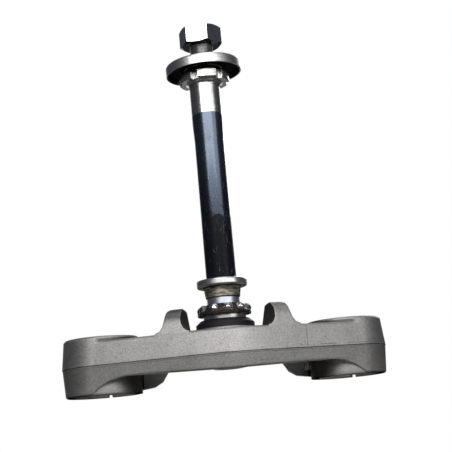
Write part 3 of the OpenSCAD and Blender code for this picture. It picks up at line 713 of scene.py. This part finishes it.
def stemOutline(s, low, high, root):
    # (radius, height, thread share) from the lower rim over the outside and back down the bore
    tube, journal, thread, hole = s["tubeRadius"], s["journalRadius"], s["threadRadius"], s["holeRadius"]
    shoulder, bevel = s["shoulder"], s["shoulderBevel"]
    outline = [(s["boreRadius"], low, 0), (root - s["rootBevel"][0], low, 0),
               (root, low + s["rootBevel"][1], 0), (root, s["rootTop"], 0), (tube, s["rootTop"], 0)]
    length = s["widenFrom"] - s["rootTop"]
    for row in range(1, s["tubeRows"]):
        outline.append((tube, s["rootTop"] + length * row / s["tubeRows"], 0))
    outline += [(tube, s["widenFrom"], 0), (journal, s["journalFrom"], 0),
                (journal, shoulder - bevel, 0), (journal - bevel, shoulder, 0), (thread, shoulder, 0)]
    length = high - s["threadEnd"] - shoulder
    rows = int(length / (s["pitch"] / s["rowsPerTurn"]))
    for row in range(1, rows + 1):
        z = shoulder + length * row / rows
        cut = min(1, (z - shoulder) / s["cutIn"], (high - s["cutEnd"] - z) / s["cutOut"])
        outline.append((thread, z, max(0, cut)))
    outline += [(thread - s["tipBevel"], high, 0), (hole + s["holeBevel"], high, 0),
                (hole, high - s["holeBevel"], 0), (hole, s["holeFrom"], 0),
                (s["boreRadius"], s["holeFrom"], 0)]
    return outline


def buildStem(s):
    low, high = heights("stem")
    mesh = bmesh.new()
    rings = []
    for radius, z, thread in stemOutline(s, low, high, radiusOf("stem")):
        ring = []
        for k in range(s["sides"]):
            turn = 2 * math.pi * k / s["sides"]
            phase = (z / s["pitch"] - turn / (2 * math.pi)) % 1
            groove = 0.5 - 0.5 * math.cos(2 * math.pi * phase)
            reach = radius - s["threadDepth"] * thread * groove
            ring.append(mesh.verts.new((reach * math.cos(turn), reach * math.sin(turn), z)))
        rings.append(ring)
    rings.append(rings[0])
    for inner, outer in zip(rings, rings[1:]):
        for k in range(s["sides"]):
            j = (k + 1) % s["sides"]
            mesh.faces.new((inner[k], inner[j], outer[j], outer[k]))
    bmesh.ops.recalc_face_normals(mesh, faces=mesh.faces)
    return finishMesh("stem_tube", mesh)


def stemFinish(s, c):
    f = Finish("stem_paint_and_steel", {"Coat Roughness": c["coatRough"],
                                        "Specular IOR Level": c["specular"]})
    kinds = ("wide", "fine", "rings", "scratches", "blotches", "nicks")
    wide, fine, rings, scratches, blotches, nicks = [f.noise(**c[kind]) for kind in kinds]
    overTop = f.z - f.y * c["lean"] - c["top"] + fine.wander(c["topWander"])
    painted = (1 - overTop.step(*c["topEdge"])) * (f.z - s["rootTop"]).step(*c["foot"])
    painted = painted * f.radius().step(*c["wall"])
    wearAndShade = scratches.step(*c["scratchEdge"]) * wide.step(*c["scratchPlace"]) * painted
    least = c["glossLeast"]
    gloss = (f.z + blotches.wander(c["fadeWander"])).step(*c["fade"])
    gloss = gloss * (least + (1 - least) * f.z.step(*c["bloom"]))
    gloss = gloss * (1 - (1 - nicks.step(*c["nickEdge"])) * c["nickShare"])
    sheen = gloss.step(*c["sheen"])
    upper = f.z.step(s["rootTop"] - c["rootSoft"], s["rootTop"])
    # painted shade on the thread between the cap and the nut
    onThread = f.z.step(s["shoulder"], s["shoulder"] + c["shadeSoft"])

    bare = f.ramp(rings, (c["ringTones"][0], c["ringDark"]), (c["ringTones"][1], c["bare"]))
    bare = f.mix(wide.step(*c["stainEdge"]) * c["stainShare"], bare, c["stain"])
    bare = f.mix(1 - upper, bare, c["root"])
    bare = f.mix(onThread * c["shadeShare"], bare, c["paintedShade"])
    colour = f.mix(painted, bare, f.mix(gloss, c["lower"], c["upper"]))
    colour = f.mix(wearAndShade * c["scratchShare"], colour, c["scuff"])
    rough, relief = c["rough"], c["relief"]
    roughness = rough["all"] + fine * rough["fine"] + wearAndShade * rough["wearAndShade"] - upper * rough["upper"]
    f.feed({"Base Color": colour, "Metallic": 1 - painted * (1 - sheen * c["sheenMetal"]),
            "Roughness": roughness + painted * (1 - sheen) * rough["matt"],
            "Coat Weight": painted * (c["coatLeast"] + gloss * c["coatGloss"])})
    f.relief([(rings * (1 - painted) * upper, relief["rings"]), (painted, relief["paint"]),
              (wide * upper, relief["wide"]), (fine, relief["fine"])], f.rounded(c["edge"]))
    return f


stemTube = buildStem(stem)
stemTube.data.materials.append(stemFinish(stem, stemPaint).material)
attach(stemTube, "root")
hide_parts("stem")
print("stem done:", len(stemTube.data.polygons), "faces")


# floor, backdrop and light

studio = {
    "floorRadius": 1.6, "floorSides": 96, "floor": (0.80, 0.80, 0.79), "floorRough": 0.9,
    "floorSpecular": 0.1, "clearFrom": 0.8, "clearShare": 0.98,        # its rim fades out
    "bounce": (0.06, 0.06, 0.06), "mat": (0.95, 0.95, 0.95),        # its tone to the object, far and near
    "matEdge": (0.08, 0.15), "matFront": (-0.03, -0.01),
    "backdrop": (0.86, 0.94), "worldLevel": 0.05, "room": (0.90, 0.95, 1.12), "white": (1, 1, 1),
    "aim": (0.0, 0.0, 0.14),
    "lamps": {
        "key": {"place": (-0.131, -1.243, 0.80), "wide": 1.82, "tall": 0.6, "power": 20.5},
        "low": {"place": (-0.131, -1.243, 0.43), "wide": 1.3, "tall": 0.14, "power": 1.15},
        "right": {"place": (0.87, -0.966, 0.42), "wide": 0.7, "tall": 0.4, "power": 2.6},
        "top": {"place": (0.1, -0.1, 1.4), "wide": 0.8, "tall": 0.8, "power": 6},
        "back": {"place": (0.55, 1.3, 0.8), "wide": 0.9, "tall": 0.9, "power": 9},
    },
}


def buildFloor(s):
    mesh = bmesh.new()
    bmesh.ops.create_circle(mesh, cap_ends=True, segments=s["floorSides"], radius=s["floorRadius"])
    bmesh.ops.translate(mesh, verts=mesh.verts, vec=(0, 0, cadBox[0][2]))
    floor = finishMesh("studio_floor", mesh)
    f = Finish("floor_paper", {"Roughness": s["floorRough"], "Specular IOR Level": s["floorSpecular"]})
    seen = Channel(f, f.node("ShaderNodeLightPath").outputs["Is Camera Ray"])
    beneath = (1 - f.radius().step(*s["matEdge"])) * f.y.step(*s["matFront"])
    shed = f.mix(beneath, s["bounce"], s["mat"])
    f.feed({"Base Color": f.mix(seen, shed, s["floor"])})
    # the camera stands under the floor's level, so its underside is clear
    under = Channel(f, f.node("ShaderNodeNewGeometry").outputs["Backfacing"])
    faded = f.radius().step(s["clearFrom"], s["floorRadius"] * s["clearShare"])
    clear = f.node("ShaderNodeBsdfTransparent")
    joined = f.node("ShaderNodeMixShader", {}, {
        0: under.most(faded), 1: f.shader.outputs[0], 2: clear.outputs[0]})
    f.fill(f.tree.nodes["Material Output"], {0: joined.outputs[0]})
    floor.data.materials.append(f.material)


def buildWorld(s):
    # plain, slightly blue light for the surfaces, and white where a ray meets the backdrop:
    # everywhere for the camera, and a screen behind the object for metal
    world = bpy.data.worlds.new("studio_world")
    world.use_nodes = True
    bpy.context.scene.world = world
    w = NodeWork(world.node_tree)
    ray = w.node("ShaderNodeLightPath").outputs
    camera, clear, glossy = [Channel(w, ray[kind]) for kind in (
        "Is Camera Ray", "Is Transmission Ray", "Is Glossy Ray")]
    way = w.node("ShaderNodeTexCoord").outputs["Generated"]
    ahead = Channel(w, w.node("ShaderNodeSeparateXYZ", {}, {0: way}).outputs[1])
    white = camera.most(clear).most(ahead.step(*s["backdrop"]) * glossy)
    level = s["worldLevel"] + white * (1 - s["worldLevel"])
    w.fill(w.tree.nodes["Background"], {
        "Color": w.mix(white, s["room"], s["white"]), "Strength": level})


def buildLamp(name, lamp, aim):
    data = bpy.data.lights.new(name, "AREA")
    data.shape = "RECTANGLE"
    data.size, data.size_y = lamp["wide"], lamp["tall"]
    data.energy = lamp["power"]
    made = bpy.data.objects.new(name, data)
    made.location = lamp["place"]
    made.rotation_euler = (Vector(aim) - made.location).to_track_quat("-Z", "Y").to_euler()
    bpy.context.scene.collection.objects.link(made)


buildFloor(studio)
buildWorld(studio)
for side, lamp in studio["lamps"].items():
    buildLamp(side + "_light", lamp, studio["aim"])
bpy.context.scene.view_settings.view_transform = "Standard"
print("studio done")


# camera, worked out from turned edges and the seam in the photograph

lens = {
    "place": (-0.08238, -0.90193, -0.05988), "look": (0.09754, 0.97636, 0.19288),
    "roll": 5.097, "frameWidth": 452, "focalPixels": 1106.75, "sensor": 36.0, "nearest": 0.01,
}


def buildCamera(s):
    data = bpy.data.cameras.new("photo_camera")
    data.sensor_fit = "HORIZONTAL"
    data.sensor_width = s["sensor"]
    data.lens = s["focalPixels"] / s["frameWidth"] * s["sensor"]
    data.clip_start = s["nearest"]
    camera = bpy.data.objects.new("photo_camera", data)
    camera.location = s["place"]
    upright = Vector(s["look"]).to_track_quat("-Z", "Y").to_matrix().to_4x4()
    turn = math.radians(s["roll"])
    cosTurn, sinTurn = math.cos(turn), math.sin(turn)
    right, up, back = [upright.col[axis].to_3d() for axis in range(3)]
    for row in range(3):
        upright[row][0] = (cosTurn * right - sinTurn * up)[row]
        upright[row][1] = (sinTurn * right + cosTurn * up)[row]
        upright[row][2] = back[row]
    camera.rotation_euler = upright.to_euler()
    bpy.context.scene.collection.objects.link(camera)
    bpy.context.scene.camera = camera


buildCamera(lens)
